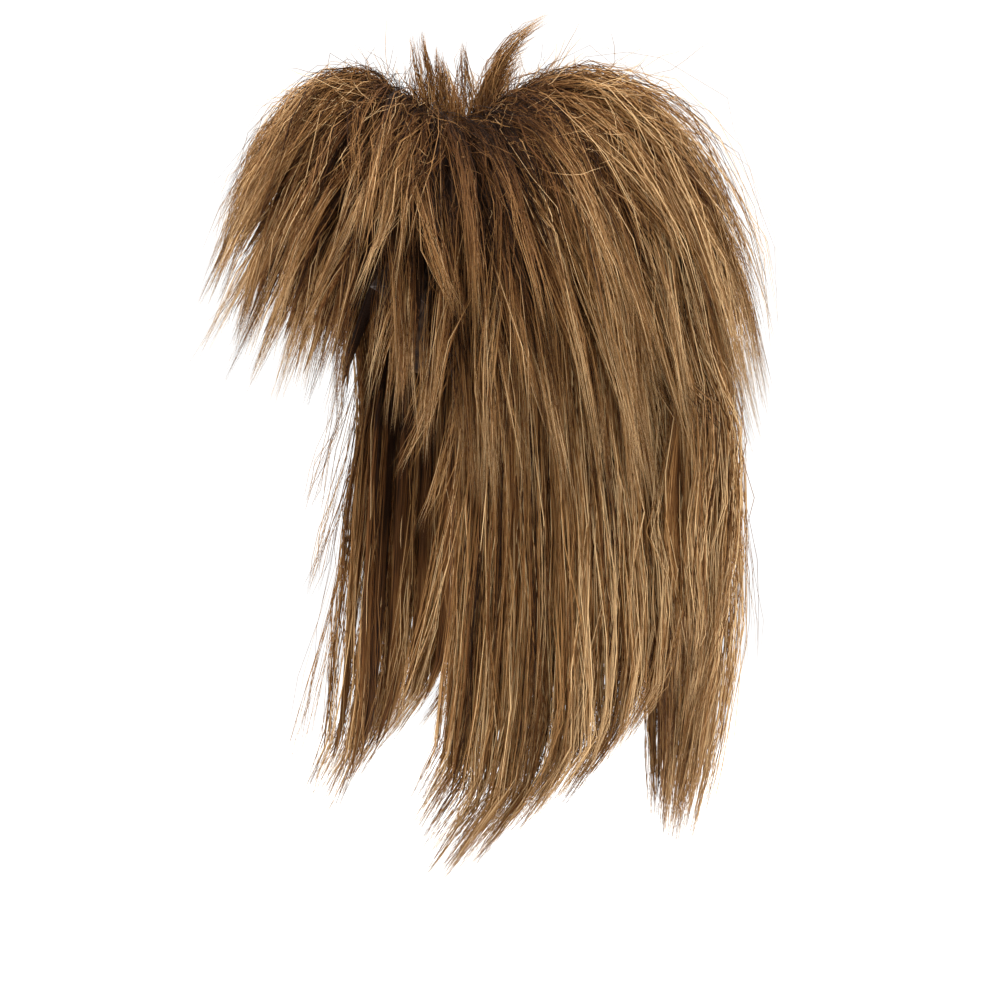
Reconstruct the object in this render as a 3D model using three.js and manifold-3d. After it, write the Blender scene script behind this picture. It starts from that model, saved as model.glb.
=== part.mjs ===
// A long-backed layered wig, in millimetres, +Z up: a hollow elastic cap, and the hair that springs from it.
// The face opening looks along -Y and the wearer's left is +X. The origin is inside the cap, at the crown.
// Hair is built as locks, tapering strips with a ridge down the middle, fused to the mass that carries them.

import * as THREE from 'three';
import { mergeVertices } from 'three/addons/utils/BufferGeometryUtils.js';
import Module from 'manifold-3d';

// The head that the cap fits
const headWidth = 156;
const headLength = 192;
const crownHeight = 112; // from the head's widest level up to the crown

// The cap
const capWall = 2;
const hairlineDepth = 50; // each depth is measured down from the crown
const templeDepth = 106;
const earDepth = 92;
const napeDepth = 154;

// How far the layered hair stands off the cap, how high it arches and how low its tips hang
const frontVolume = 86;
const sideVolume = 60;
const backVolume = 77;
const frontPeak = 77;
const sidePeak = 48;
const backPeak = 81;
const fringeDrop = 102;
const sideDrop = 158;
const backDrop = 126;

// The upright tuft at the crown
const tuftHeight = 122;
const tuftRadius = 24;

// The long hair
const sideTipDepth = 412;
const napeTipDepth = 402;
const sideStandOff = 32;
const napeStandOff = 52;
// Azimuths of its edges, in degrees round from the face
const leftFrontAngle = 64;
const rightFrontAngle = 54;
const sideBackAngle = 131;
const napeFrontAngle = 141;

// Locks
const crownLockWidth = 54;
const crownLockThickness = 24;
const longLockWidth = 38;
const longLockThickness = 22;
const crownLockCount = 24;
const fringeLockCount = 7;
const backLockCount = 7;
const sideLockCount = 8;
const napeLockCount = 7;

// The gap between pieces that touch
const seam = 0.4;

const hairBrown = '#7d5735';
const capBrown = '#3b2a1d';

const wasm = await Module();
wasm.setup();

function solidFrom(geometry) {
  const bare = geometry.clone();
  bare.deleteAttribute('normal');
  bare.deleteAttribute('uv');
  const merged = mergeVertices(bare, 1e-3);
  return new wasm.Manifold(new wasm.Mesh({
    numProp: 3,
    vertProperties: merged.attributes.position.array,
    triVerts: new Uint32Array(merged.index.array),
  }));
}

function geometryFrom(solid) {
  const mesh = solid.getMesh();
  const points = new Float32Array(mesh.numVert * 3);
  for (let i = 0; i < mesh.numVert; i += 1) {
    points.set(mesh.vertProperties.subarray(i * mesh.numProp, i * mesh.numProp + 3), i * 3);
  }
  const geometry = new THREE.BufferGeometry();
  geometry.setAttribute('position', new THREE.BufferAttribute(points, 3));
  geometry.setIndex(new THREE.BufferAttribute(mesh.triVerts, 1));
  geometry.computeVertexNormals();
  return geometry;
}

const joined = (solids) => solids.reduce((whole, next) => whole.add(next));

// The largest of a solid's bodies: crumbs that a cut left behind are dropped.
function mainBody(solid) {
  return solid.decompose().reduce((most, body) => (body.volume() > most.volume() ? body : most));
}

// A repeatable number from -1 to 1 for the lock `index` and the trait `trait`.
function vary(index, trait) {
  const wave = Math.sin(index * 12.9898 + trait * 78.233) * 43758.5453;
  return (wave - Math.floor(wave)) * 2 - 1;
}

const mix = (a, b, share) => a + (b - a) * share;

// The value of column `key` at `share` along a table whose rows hold `at`, straight from row to row.
function fromTable(table, key, share) {
  const next = table.findIndex((row) => row.at >= share);
  if (next <= 0) return table[next === 0 ? 0 : table.length - 1][key];
  const low = table[next - 1];
  const high = table[next];
  return mix(low[key], high[key], (share - low.at) / (high.at - low.at));
}

// Azimuth is measured in radians from the face (-Y) round towards the wearer's left (+X).
const outward = (azimuth) => new THREE.Vector3(Math.sin(azimuth), -Math.cos(azimuth), 0);
const sideways = (azimuth) => new THREE.Vector3(Math.cos(azimuth), Math.sin(azimuth), 0);

// The radius of an oval with its own half lengths to the front, the side and the back.
function ovalRadius(azimuth, front, side, back) {
  const along = -Math.cos(azimuth) < 0 ? front : back;
  return 1 / Math.hypot(Math.sin(azimuth) / side, Math.cos(azimuth) / along);
}

// A size that goes smoothly from its front value through its side value to its back value.
function roundValue(azimuth, front, side, back) {
  const facing = Math.cos(azimuth);
  return mix(side, facing > 0 ? front : back, facing * facing);
}

const capRadius = (azimuth) => ovalRadius(
  azimuth,
  headLength / 2 + capWall,
  headWidth / 2 + capWall,
  headLength / 2 + capWall,
);

const hairReach = (azimuth) => ovalRadius(
  azimuth,
  headLength / 2 + capWall + frontVolume,
  headWidth / 2 + capWall + sideVolume,
  headLength / 2 + capWall + backVolume,
);

// The head's own form, grown all round by `extra`.
function headForm(extra) {
  const ball = new THREE.SphereGeometry(1, 28, 16);
  ball.rotateX(Math.PI / 2);
  ball.scale(headWidth / 2 + extra, headLength / 2 + extra, crownHeight + extra);
  ball.translate(0, 0, -crownHeight);
  return solidFrom(ball);
}

// Everything below the cap's rim, which dips at the temples and the nape and rises over the ears.
function belowRim() {
  const margin = 40;
  const front = -headLength / 2 - margin;
  const back = headLength / 2 + margin;
  const rim = new THREE.Shape();
  rim.moveTo(front, -hairlineDepth);
  rim.lineTo(-headLength * 0.42, -hairlineDepth);
  const templeTurn = mix(hairlineDepth, templeDepth, 0.6);
  rim.quadraticCurveTo(-headLength * 0.3, -hairlineDepth, -headLength * 0.27, -templeTurn);
  rim.quadraticCurveTo(-headLength * 0.24, -templeDepth, -headLength * 0.17, -templeDepth);
  rim.quadraticCurveTo(-headLength * 0.1, -templeDepth, -headLength * 0.05, -earDepth);
  rim.lineTo(headLength * 0.1, -earDepth);
  rim.quadraticCurveTo(headLength * 0.2, -mix(earDepth, napeDepth, 0.4), headLength * 0.24, -napeDepth);
  rim.lineTo(back, -napeDepth);
  rim.lineTo(back, -napeDepth - margin * 3);
  rim.lineTo(front, -napeDepth - margin * 3);
  rim.closePath();
  const width = headWidth + 2 * margin;
  const block = new THREE.ExtrudeGeometry(rim, { depth: width, bevelEnabled: false, curveSegments: 4 });
  block.translate(0, 0, -width / 2);
  block.applyMatrix4(new THREE.Matrix4().makeBasis(
    new THREE.Vector3(0, 1, 0),
    new THREE.Vector3(0, 0, 1),
    new THREE.Vector3(1, 0, 0),
  ));
  return solidFrom(block);
}

function makeCap() {
  return mainBody(headForm(capWall).subtract(headForm(0)).subtract(belowRim()));
}

// A closed surface through rings of points, from a first ring to a last one that narrows to a point.
function closedRings(rings, tip) {
  const count = rings[0].length;
  const points = [...rings.flat(), tip];
  const first = new THREE.Vector3();
  rings[0].forEach((point) => first.addScaledVector(point, 1 / count));
  points.push(first);
  const tipIndex = points.length - 2;
  const firstIndex = points.length - 1;
  const faces = [];
  for (let i = 0; i < count; i += 1) {
    const j = (i + 1) % count;
    faces.push(firstIndex, j, i);
    for (let row = 0; row < rings.length - 1; row += 1) {
      const near = row * count;
      const far = near + count;
      faces.push(near + i, near + j, far + j, near + i, far + j, far + i);
    }
    const last = (rings.length - 1) * count;
    faces.push(last + i, last + j, tipIndex);
  }
  const geometry = new THREE.BufferGeometry().setFromPoints(points);
  geometry.setIndex(faces);
  const solid = solidFrom(geometry);
  if (solid.volume() > 0) return solid;
  for (let i = 0; i < faces.length; i += 3) [faces[i + 1], faces[i + 2]] = [faces[i + 2], faces[i + 1]];
  geometry.setIndex(faces);
  return solidFrom(geometry);
}

// How a lock's width and thickness run from its root (0) to just short of its tip (1).
const lockTaper = [
  { at: 0, width: 0.4, thickness: 0.6 },
  { at: 0.22, width: 0.75, thickness: 1 },
  { at: 0.48, width: 1, thickness: 1 },
  { at: 0.7, width: 0.95, thickness: 0.85 },
  { at: 0.87, width: 0.6, thickness: 0.55 },
];

// A lock along `curve`: four-sided, with its width along `side`, and a point at its tip.
// `grow` moves its faces out.
function makeLock(curve, side, width, thickness, grow = 0) {
  const rings = lockTaper.map((row) => {
    const centre = curve.getPoint(row.at);
    const along = curve.getTangent(row.at);
    const up = new THREE.Vector3().crossVectors(along, side).normalize();
    const across = new THREE.Vector3().crossVectors(up, along).normalize();
    const w = (width * row.width) / 2 + 2.2 * grow;
    const t = (thickness * row.thickness) / 2 + 1.6 * grow;
    return [
      centre.clone().addScaledVector(across, w),
      centre.clone().addScaledVector(up, t),
      centre.clone().addScaledVector(across, -w),
      centre.clone().addScaledVector(up, -t),
    ];
  });
  return closedRings(rings, curve.getPoint(1).addScaledVector(curve.getTangent(1), 4 * grow));
}

// How steeply the arch leaves the crown, and how long it holds its height, as shares of its peak.
const archRise = { front: 1.5, side: 1.25, back: 1.52 };
const archHold = { front: 0.72, side: 1.1, back: 0.55 };

// The arch that the hair makes from the crown out to its tips, in one azimuth's plane: distance from the axis
// and height.
// `layer` scales the arch: its reach, peak and drops are shares of the hair's own.
function crownArch(azimuth, layer) {
  const reach = hairReach(azimuth) * layer.reach;
  const peak = roundValue(azimuth, frontPeak, sidePeak, backPeak) * layer.peak;
  const drop = roundValue(azimuth, fringeDrop * layer.front, sideDrop * layer.side, backDrop * layer.back);
  const rise = roundValue(azimuth, archRise.front, archRise.side, archRise.back);
  const hold = roundValue(azimuth, archHold.front, archHold.side, archHold.back);
  return [
    [reach * 0.08, sidePeak * 0.6],
    [reach * 0.4, peak * rise],
    [reach * layer.swell, peak * hold],
    [reach * layer.tip, -drop],
  ];
}

function archPoint(arch, t) {
  const weights = [(1 - t) ** 3, 3 * t * (1 - t) ** 2, 3 * t * t * (1 - t), t ** 3];
  return [0, 1].map((axis) => weights.reduce((sum, weight, i) => sum + weight * arch[i][axis], 0));
}

const massLayer = { reach: 0.86, peak: 0.84, front: 0.6, side: 0.58, back: 0.68, swell: 1.06, tip: 0.98 };
const crownLayers = [
  { reach: 1, peak: 1, front: 0.58, side: 0.68, back: 0.92, swell: 1.05, tip: 0.98, turn: 0, trait: 1 },
  { reach: 0.88, peak: 0.8, front: 1, side: 0.98, back: 1, swell: 1.08, tip: 0.93, turn: 0.5, trait: 5 },
];

// The body of the layered hair: it follows the arch from the crown out, then turns in under itself to the cap.
function crownMass() {
  const columns = 24;
  const rows = [0.12, 0.3, 0.5, 0.7, 0.86, 1];
  const rings = rows.map((t) => Array.from({ length: columns }, (_, i) => {
    const azimuth = (i / columns) * 2 * Math.PI;
    const [distance, height] = archPoint(crownArch(azimuth, massLayer), t);
    return outward(azimuth).multiplyScalar(distance).setZ(height);
  }));
  const underside = Array.from({ length: columns }, (_, i) => {
    const azimuth = (i / columns) * 2 * Math.PI;
    const depth = roundValue(azimuth, fringeDrop, sideDrop, backDrop) * 0.58;
    return outward(azimuth).multiplyScalar(capRadius(azimuth) * 0.8).setZ(-depth);
  });
  return closedRings([...rings, underside], new THREE.Vector3(0, 0, -hairlineDepth));
}

function crownLock(index, layer) {
  const azimuth = ((index + layer.turn) / crownLockCount) * 2 * Math.PI;
  const arch = crownArch(azimuth, { ...layer, reach: layer.reach * (1 + 0.04 * vary(index, layer.trait)) });
  arch[3][1] *= 1 + 0.14 * vary(index, layer.trait + 1);
  const drift = 0.09 * vary(index, layer.trait + 2);
  const points = arch.map(([distance, height], i) => (
    outward(azimuth + (drift * i) / 3).multiplyScalar(distance).setZ(height)
  ));
  const curve = new THREE.CubicBezierCurve3(...points);
  return makeLock(curve, sideways(azimuth), crownLockWidth, crownLockThickness);
}

// A wedge of space about the axis between two azimuths, drawn back from each of its planes by half a seam.
function wedge(from, to) {
  const half = (to - from) / 2;
  const middle = (from + to) / 2;
  const reach = 4 * (headLength / 2 + frontVolume + backVolume);
  const tall = 2 * (tuftHeight + sideTipDepth + napeTipDepth);
  const apex = outward(middle).multiplyScalar(seam / 2 / Math.sin(half));
  const corners = [0, 0.5, 1].map((share) => (
    apex.clone().addScaledVector(outward(mix(from, to, share)), reach)
  ));
  const outline = new THREE.Shape([apex, ...corners].map((corner) => new THREE.Vector2(corner.x, corner.y)));
  const block = new THREE.ExtrudeGeometry(outline, { depth: tall, bevelEnabled: false });
  block.translate(0, 0, -tall / 2);
  return solidFrom(block);
}

// The tuft: spikes that lean from the crown, and the round core that they stand on.
const tuftSpikes = [
  { azimuth: 0.2, lean: 0.44, height: 0.9, width: 0.85 },
  { azimuth: -0.5, lean: 0.3, height: 0.72, width: 0.8 },
  { azimuth: 1.1, lean: 0.34, height: 0.66, width: 0.75 },
  { azimuth: -1.7, lean: 0.36, height: 0.64, width: 0.75 },
  { azimuth: 2.2, lean: 0.3, height: 0.72, width: 0.8 },
  { azimuth: 3.05, lean: 0.2, height: 1, width: 0.9 },
  { azimuth: -2.5, lean: 0.34, height: 0.8, width: 0.8 },
];

function makeTuft(grow) {
  const coreHeight = sidePeak * 0.9 + grow;
  const core = new THREE.CylinderGeometry(tuftRadius * 0.8 + grow, tuftRadius + grow, coreHeight, 12);
  core.rotateX(Math.PI / 2);
  core.translate(0, 0, coreHeight / 2);
  const spikes = tuftSpikes.map((spike) => {
    const out = outward(spike.azimuth);
    const height = tuftHeight * spike.height;
    const stations = [0.12, 0.35, 0.65, 1].map((share) => (
      out.clone().multiplyScalar(spike.lean * height * share ** 1.5 + tuftRadius * 0.2).setZ(height * share)
    ));
    const width = tuftRadius * spike.width;
    const curve = new THREE.CubicBezierCurve3(...stations);
    return makeLock(curve, sideways(spike.azimuth), width, width * 0.7, grow);
  });
  return joined([solidFrom(core), ...spikes]);
}

// How a hanging lock stands off the cap (a share of the stand-off) and drifts forward (of the stand-off too)
// from its root to its tip, and how far the hair gathers towards its middle.
const sideFall = [
  { at: 0, off: 0.12, forward: 0, gather: 1 },
  { at: 0.14, off: 0.55, forward: 0, gather: 1 },
  { at: 0.36, off: 0.85, forward: 0, gather: 1.04 },
  { at: 0.58, off: 1, forward: 0.05, gather: 1.06 },
  { at: 0.8, off: 1.3, forward: 0.4, gather: 0.98 },
  { at: 1, off: 1.45, forward: 1.15, gather: 0.8 },
];
const napeFall = [
  { at: 0, off: 0.08, forward: 0, gather: 1 },
  { at: 0.14, off: 0.62, forward: 0, gather: 1 },
  { at: 0.34, off: 0.87, forward: 0, gather: 0.97 },
  { at: 0.6, off: 0.9, forward: 0, gather: 0.86 },
  { at: 0.82, off: 0.82, forward: 0, gather: 0.72 },
  { at: 1, off: 0.58, forward: 0, gather: 0.5 },
];

// How deep each lock's tip hangs, from the front edge of the side hair to its back edge.
const sideTips = [
  { at: 0, depth: 0.84 },
  { at: 0.15, depth: 0.9 },
  { at: 0.35, depth: 1 },
  { at: 0.55, depth: 0.94 },
  { at: 0.8, depth: 0.9 },
  { at: 1, depth: 0.84 },
];
// The same across the back, from its middle to its edge.
const napeTips = [
  { at: 0, depth: 1 },
  { at: 0.5, depth: 0.96 },
  { at: 1, depth: 0.84 },
];

const sideBackEdge = THREE.MathUtils.degToRad(sideBackAngle);
const napeEdge = THREE.MathUtils.degToRad(napeFrontAngle);

function hangingLock(azimuth, middle, fall, standOff, rootDepth, tipDepth, width, thickness, grow) {
  const stations = fall.map((row) => {
    const turned = middle + (azimuth - middle) * row.gather;
    const point = outward(turned).multiplyScalar(capRadius(turned) + standOff * row.off);
    point.y -= sideStandOff * row.forward;
    return point.setZ(-mix(rootDepth, tipDepth, row.at));
  });
  return makeLock(new THREE.CatmullRomCurve3(stations), sideways(azimuth), width, thickness, grow);
}

// The long hair beside one cheek: `hand` is 1 on the wearer's left and -1 on the right.
function makeSideLength(hand, grow) {
  const frontEdge = THREE.MathUtils.degToRad(hand > 0 ? leftFrontAngle : rightFrontAngle);
  const middle = hand * mix(frontEdge, sideBackEdge, 0.5);
  const locks = Array.from({ length: sideLockCount }, (_, i) => {
    const share = i / (sideLockCount - 1);
    const azimuth = hand * mix(frontEdge, sideBackEdge, share);
    const tipDepth = sideTipDepth * fromTable(sideTips, 'depth', share) * (1 + 0.03 * vary(i, 11 + hand));
    return hangingLock(
      azimuth,
      middle,
      sideFall,
      sideStandOff * (1 + 0.06 * vary(i, 12)),
      earDepth * 0.82,
      tipDepth,
      longLockWidth,
      longLockThickness,
      grow,
    );
  });
  return joined(locks);
}

// The back hair's outer row of locks and an inner row nearer to the neck: sizes against a side lock's.
const napeRows = [
  { off: 1, width: 1.15, thickness: 1.35, trait: 21, depth: 1 },
  { off: 0.52, width: 1, thickness: 1.1, trait: 25, depth: 0.95 },
];

// The long hair down the back.
function makeNapeLength(grow) {
  const locks = napeRows.flatMap((row) => Array.from({ length: napeLockCount }, (_, i) => {
    const across = (2 * i) / (napeLockCount - 1) - 1;
    const azimuth = Math.PI + across * (Math.PI - napeEdge);
    const tipDepth = napeTipDepth * row.depth * fromTable(napeTips, 'depth', Math.abs(across));
    return hangingLock(
      azimuth,
      Math.PI,
      napeFall,
      napeStandOff * row.off,
      earDepth,
      tipDepth * (1 + 0.03 * vary(i, row.trait)),
      longLockWidth * row.width,
      longLockThickness * row.thickness,
      grow,
    );
  }));
  return joined(locks);
}

const headRoom = headForm(capWall + seam);
const longHair = [
  ['side_length_left', (grow) => makeSideLength(1, grow)],
  ['side_length_right', (grow) => makeSideLength(-1, grow)],
  ['nape_length', makeNapeLength],
];

const step = (2 * Math.PI) / crownLockCount;
const fringeEdge = (fringeLockCount / 2) * step;
const backEdge = Math.PI - (backLockCount / 2) * step;
const crownSectors = [
  ['fringe', -fringeEdge, fringeEdge],
  ['crown_layer_left', fringeEdge, backEdge],
  ['crown_layer_back', backEdge, 2 * Math.PI - backEdge],
  ['crown_layer_right', -backEdge, -fringeEdge],
];

const pieces = new Map([['wig_cap', makeCap()]]);
pieces.set('crown_tuft', mainBody(makeTuft(0).subtract(headRoom)));

const longSolids = longHair.map(([name, make]) => [name, make(0).subtract(headRoom)]);
longSolids.forEach(([name, solid], i) => {
  const earlier = longHair.slice(0, i).map(([, make]) => make(seam));
  pieces.set(name, mainBody(earlier.reduce((left, other) => left.subtract(other), solid)));
});

const crownLocks = crownLayers.flatMap((layer) => (
  Array.from({ length: crownLockCount }, (_, i) => crownLock(i, layer))
));
const crownCuts = [headRoom, makeTuft(seam), ...longHair.map(([, make]) => make(seam))];
const crownHair = crownCuts.reduce((left, cut) => left.subtract(cut), joined([crownMass(), ...crownLocks]));
crownSectors.forEach(([name, from, to]) => {
  pieces.set(name, mainBody(crownHair.intersect(wedge(from, to))));
});

const wig = new THREE.Group();
pieces.forEach((solid, name) => {
  const finish = { color: name === 'wig_cap' ? capBrown : hairBrown, roughness: 0.6, metalness: 0 };
  const mesh = new THREE.Mesh(geometryFrom(solid), new THREE.MeshStandardMaterial(finish));
  mesh.name = name;
  wig.add(mesh);
});

export default wig;
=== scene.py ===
# A long-backed layered wig, grown strand by strand round its hollow cap and held as on a head above a pale
# floor. Metres, +Z up, the face opening towards -Y. The origin is inside the cap, at the crown.

import math

import bpy
import numpy as np
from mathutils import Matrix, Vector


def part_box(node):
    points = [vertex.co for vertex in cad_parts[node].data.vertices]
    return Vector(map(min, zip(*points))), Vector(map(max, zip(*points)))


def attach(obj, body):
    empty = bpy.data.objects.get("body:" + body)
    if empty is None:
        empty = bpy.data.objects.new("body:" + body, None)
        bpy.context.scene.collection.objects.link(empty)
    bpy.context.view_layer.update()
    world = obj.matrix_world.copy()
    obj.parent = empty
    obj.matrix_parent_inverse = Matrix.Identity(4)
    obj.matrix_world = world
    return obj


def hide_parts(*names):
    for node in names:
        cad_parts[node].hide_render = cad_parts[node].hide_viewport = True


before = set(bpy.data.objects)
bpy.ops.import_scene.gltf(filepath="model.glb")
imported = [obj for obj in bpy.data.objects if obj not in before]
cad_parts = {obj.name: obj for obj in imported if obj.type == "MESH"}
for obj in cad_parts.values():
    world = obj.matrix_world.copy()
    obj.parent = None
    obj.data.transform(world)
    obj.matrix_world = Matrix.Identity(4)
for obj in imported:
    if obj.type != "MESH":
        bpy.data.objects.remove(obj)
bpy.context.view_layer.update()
print("frame loaded")

# camera and light

cameraSetup = {
    "azimuth": 75,
    "elevation": 2,
    "distance": 2.4,
    "target": (0, 0.002, -0.186),
    "lens": 135,
}


def lookFrom(azimuth, elevation, distance, target):
    a, e = math.radians(azimuth), math.radians(elevation)
    back = np.array([math.sin(a) * math.cos(e), -math.cos(a) * math.cos(e), math.sin(e)])
    return np.array(target) + back * distance


def aim(obj, target):
    direction = obj.location.copy()
    direction.x, direction.y, direction.z = (t - p for t, p in zip(target, obj.location))
    obj.rotation_euler = direction.to_track_quat("-Z", "Y").to_euler()


def addCamera():
    place = lookFrom(*(cameraSetup[key] for key in ("azimuth", "elevation", "distance", "target")))
    bpy.ops.object.camera_add(location=place)
    camera = bpy.context.object
    camera.data.lens = cameraSetup["lens"]
    aim(camera, cameraSetup["target"])
    bpy.context.scene.camera = camera


lightSetup = {
    "sky": 0.42,
    "backdrop": 1.15,
    "key": {"azimuth": 15, "elevation": 52, "distance": 1.5, "size": 0.8, "power": 38},
    "fill": {"azimuth": 85, "elevation": 12, "distance": 1.9, "size": 1.4, "power": 12},
    "rim": {"azimuth": 165, "elevation": 42, "distance": 1.5, "size": 0.8, "power": 30},
    "far": {"azimuth": 280, "elevation": 35, "distance": 1.6, "size": 1.2, "power": 16},
}


# The sky gives an even soft light, and the camera sees it as a white backdrop
def addSky():
    world = bpy.data.worlds.new("pale_studio")
    world.use_nodes = True
    tree = world.node_tree
    background = tree.nodes["Background"]
    background.inputs["Color"].default_value = (1, 1, 1, 1)
    seen = tree.nodes.new("ShaderNodeLightPath")
    strength = tree.nodes.new("ShaderNodeMapRange")
    strength.inputs["To Min"].default_value = lightSetup["sky"]
    strength.inputs["To Max"].default_value = lightSetup["backdrop"]
    tree.links.new(seen.outputs["Is Camera Ray"], strength.inputs["Value"])
    tree.links.new(strength.outputs["Result"], background.inputs["Strength"])
    bpy.context.scene.world = world


def addLights():
    for name in ("key", "fill", "rim", "far"):
        lamp = lightSetup[name]
        place = lookFrom(lamp["azimuth"], lamp["elevation"], lamp["distance"], cameraSetup["target"])
        bpy.ops.object.light_add(type="AREA", location=place)
        light = bpy.context.object
        light.name = name + "_light"
        light.data.size = lamp["size"]
        light.data.energy = lamp["power"]
        aim(light, cameraSetup["target"])


addCamera()
addSky()
addLights()
bpy.context.scene.view_settings.view_transform = "Standard"
print("camera and lights placed")

# The head that the cap fits, and how far the hair stands off it, from the frame

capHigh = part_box("wig_cap")[1]
head = {"halfWidth": capHigh[0], "halfLength": capHigh[1]}
hairForm = {
    "frontReach": -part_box("fringe")[0][1],
    "sideReach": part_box("crown_layer_left")[1][0],
    "backReach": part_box("crown_layer_back")[1][1],
    "archHeight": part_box("fringe")[1][2],
}


def mix(a, b, share):
    return a + (b - a) * share


def smooth(low, high, value):
    share = np.clip((value - low) / (high - low), 0, 1)
    return share * share * (3 - 2 * share)


def unitNoise(rng, shape):
    return rng.uniform(-1, 1, shape)


# What the four points of a curve weigh at t along it
def curveWeights(t):
    return [(1 - t) ** 3, 3 * t * (1 - t) ** 2, 3 * t * t * (1 - t), t ** 3]


def ovalRadius(azimuth, front, side, back):
    along = np.where(np.cos(azimuth) > 0, front, back)
    return 1 / np.hypot(np.sin(azimuth) / side, np.cos(azimuth) / along)


def capRadius(azimuth):
    return ovalRadius(azimuth, head["halfLength"], head["halfWidth"], head["halfLength"])


def hairReach(azimuth):
    return ovalRadius(azimuth, hairForm["frontReach"], hairForm["sideReach"], hairForm["backReach"])


# Points at a distance from the axis in the azimuth's direction, -Y turning towards +X
def placed(azimuth, distance, height):
    return np.stack([np.sin(azimuth) * distance, -np.cos(azimuth) * distance, height], axis=-1)


# The arches that the crown hair follows, at azimuths from the face (0) to the back of the head (180). They
# spring from a short line along the crown. "Out" columns are shares of the way from it to the hair's reach,
# "Up" columns shares of the arch's height.

crownLine = {"front": -0.048, "middle": -0.030, "back": -0.014}
archAzimuths = [0, 45, 75, 95, 125, 155, 180]
outerArch = {
    "rootOut": [0.04, 0.05, 0.06, 0.06, 0.07, 0.08, 0.08],
    "rootUp": [0.6, 0.6, 0.62, 0.62, 0.65, 0.65, 0.65],
    "riseOut": [0.22, 0.26, 0.3, 0.3, 0.26, 0.28, 0.28],
    "riseUp": [1.3, 1.15, 0.9, 0.95, 1.25, 1.4, 1.4],
    "bendOut": [0.69, 0.75, 0.8, 0.76, 0.76, 0.9, 0.9],
    "bendUp": [1.25, 0.85, 0.35, 0.4, 0.9, 1.3, 1.3],
    "tipOut": [1.0, 0.99, 0.97, 0.96, 0.98, 0.98, 0.97],
    "tipUp": [-0.3, -0.75, -1.95, -2.1, -1.7, -1.15, -1.1],
}
middleArch = {
    "rootOut": [0.05, 0.06, 0.08, 0.08, 0.08, 0.08, 0.08],
    "rootUp": [0.52, 0.52, 0.54, 0.58, 0.58, 0.58, 0.58],
    "riseOut": [0.32, 0.36, 0.36, 0.34, 0.35, 0.35, 0.35],
    "riseUp": [0.75, 0.7, 0.5, 0.5, 0.6, 0.75, 0.75],
    "bendOut": [0.6, 0.62, 0.64, 0.62, 0.66, 0.74, 0.74],
    "bendUp": [0.25, 0.05, -0.4, -0.4, -0.15, 0.2, 0.2],
    "tipOut": [0.98, 0.95, 0.86, 0.85, 0.86, 0.92, 0.92],
    "tipUp": [-1.15, -1.35, -2.2, -2.4, -2.05, -1.75, -1.7],
}
innerArch = {
    "rootOut": [0.06, 0.06, 0.08, 0.08, 0.08, 0.08, 0.08],
    "rootUp": [0.42, 0.42, 0.44, 0.45, 0.45, 0.45, 0.45],
    "riseOut": [0.26, 0.3, 0.38, 0.42, 0.43, 0.45, 0.45],
    "riseUp": [0.2, 0.2, 0.15, 0.15, 0.25, 0.35, 0.35],
    "bendOut": [0.46, 0.5, 0.56, 0.58, 0.62, 0.68, 0.68],
    "bendUp": [-0.4, -0.5, -0.95, -1.0, -0.8, -0.5, -0.5],
    "tipOut": [0.58, 0.6, 0.66, 0.67, 0.70, 0.73, 0.73],
    "tipUp": [-1.66, -1.7, -2.3, -2.5, -2.4, -2.2, -2.15],
}


# A crown strand's place along its arch. shell is 0 at the cap and 1 at the outermost hair.
def crownRun(azimuth, shell, t):
    turned = np.degrees(np.abs((azimuth + math.pi) % (2 * math.pi) - math.pi))
    reach = hairReach(azimuth)

    def control(column):
        outer, middle, inner = (
            np.interp(turned, archAzimuths, arch[column]) for arch in (outerArch, middleArch, innerArch)
        )
        value = np.where(shell < 0.5, mix(inner, middle, shell * 2), mix(middle, outer, shell * 2 - 1))
        return value * (1 if column.endswith("Out") else hairForm["archHeight"])

    steps = ("root", "rise", "bend", "tip")
    share = sum(w * control(step + "Out") for w, step in zip(curveWeights(t), steps))
    height = sum(w * control(step + "Up") for w, step in zip(curveWeights(t), steps))
    spring = mix(crownLine["front"], crownLine["back"], (1 - np.cos(azimuth)) / 2)
    level = np.zeros(share.shape)
    start = np.stack([level, spring, level], axis=-1)
    end = placed(azimuth, reach, level)
    return mix(start, end, share[..., None]) + np.stack([level, level, height], axis=-1)


# Each strand's value, drawn in towards that of the bundle it lies in as it nears its tip
def drawnTo(own, bundle, pull):
    return own[:, None] + (bundle - own)[:, None] * pull


# How far strands have drawn together at t along them: gather says by how much at most, and from where to where
def pullAt(gather, hold, t):
    most, start, end = gather
    return hold * most * smooth(start, end, t)


waveForm = {
    "cycles": [1.3, 2.7, 5.5],
    "shares": [0.9, 0.5, 0.4],
    "speeds": (0.7, 1.3),
    "sizes": (0.4, 1.6),
    "growth": 0.8,
    "tipCalm": 0.65,
    "calmFrom": 0.55,
}


# Soft waves across a strand, widest beyond its middle. Strands of one group wave together.
def waves(rng, t, size, group=None):
    group = np.arange(len(t)) if group is None else group
    number = group.max() + 1
    total = np.zeros(t.shape + (3,))
    for cycles, share in zip(waveForm["cycles"], waveForm["shares"]):
        phase = rng.uniform(0, 2 * math.pi, (number, 1, 3))[group]
        speed = cycles * rng.uniform(*waveForm["speeds"], (number, 1, 3))[group]
        total += share * np.sin(2 * math.pi * speed * t[:, :, None] + phase)
    calm = 1 - waveForm["tipCalm"] * smooth(waveForm["calmFrom"], 1, t)
    envelope = size * t ** waveForm["growth"] * calm
    return total * envelope[:, :, None] * rng.uniform(*waveForm["sizes"], (number, 1, 1))[group]


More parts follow.
